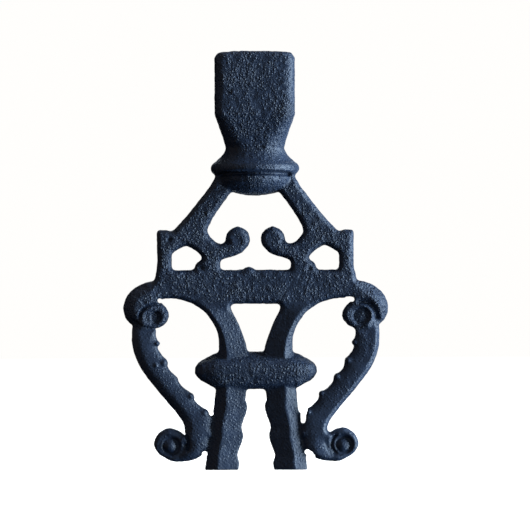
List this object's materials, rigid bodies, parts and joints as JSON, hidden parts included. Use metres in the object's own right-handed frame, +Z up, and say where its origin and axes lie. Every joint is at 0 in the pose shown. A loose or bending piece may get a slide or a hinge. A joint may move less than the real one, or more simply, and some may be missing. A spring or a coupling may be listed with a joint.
{
  "type": "ornamental standard head",
  "caption": "Openwork cast-iron standard head: square block on a turned neck, over scrolled struts, a crossbar, a clasped pair of ribbed legs and side volutes.",
  "frame": {"origin": "centre of the box's underside: on the middle plane, midway between the two leg ends, at their flat lower faces", "axes": "+Z up the standard to the square block, +X across the frame to its right-hand side seen from the front, +Y from front to back through its depth"},
  "size_m": [0.1322, 0.0444, 0.2093],
  "materials": {
    "painted_iron": "satin blue-black paint over sand-cast iron, with a fine pebbled texture"
  },
  "bodies": {
    "root": {"top_block": "painted_iron", "neck_ring": "painted_iron", "bowl": "painted_iron", "crossbar": "painted_iron", "collar_front": "painted_iron", "collar_back": "painted_iron", "strut_left": "painted_iron", "strut_right": "painted_iron", "outer_post_left": "painted_iron", "outer_post_right": "painted_iron", "inner_post_left": "painted_iron", "inner_post_right": "painted_iron", "inner_scroll_left": "painted_iron", "inner_scroll_right": "painted_iron", "standard_left": "painted_iron", "standard_right": "painted_iron", "side_scroll_left": "painted_iron", "side_scroll_right": "painted_iron", "side_bracket_left": "painted_iron", "side_bracket_right": "painted_iron", "upper_eye_left": "painted_iron", "upper_eye_right": "painted_iron", "lower_eye_left": "painted_iron", "lower_eye_right": "painted_iron"}
  },
  "joints": []
}
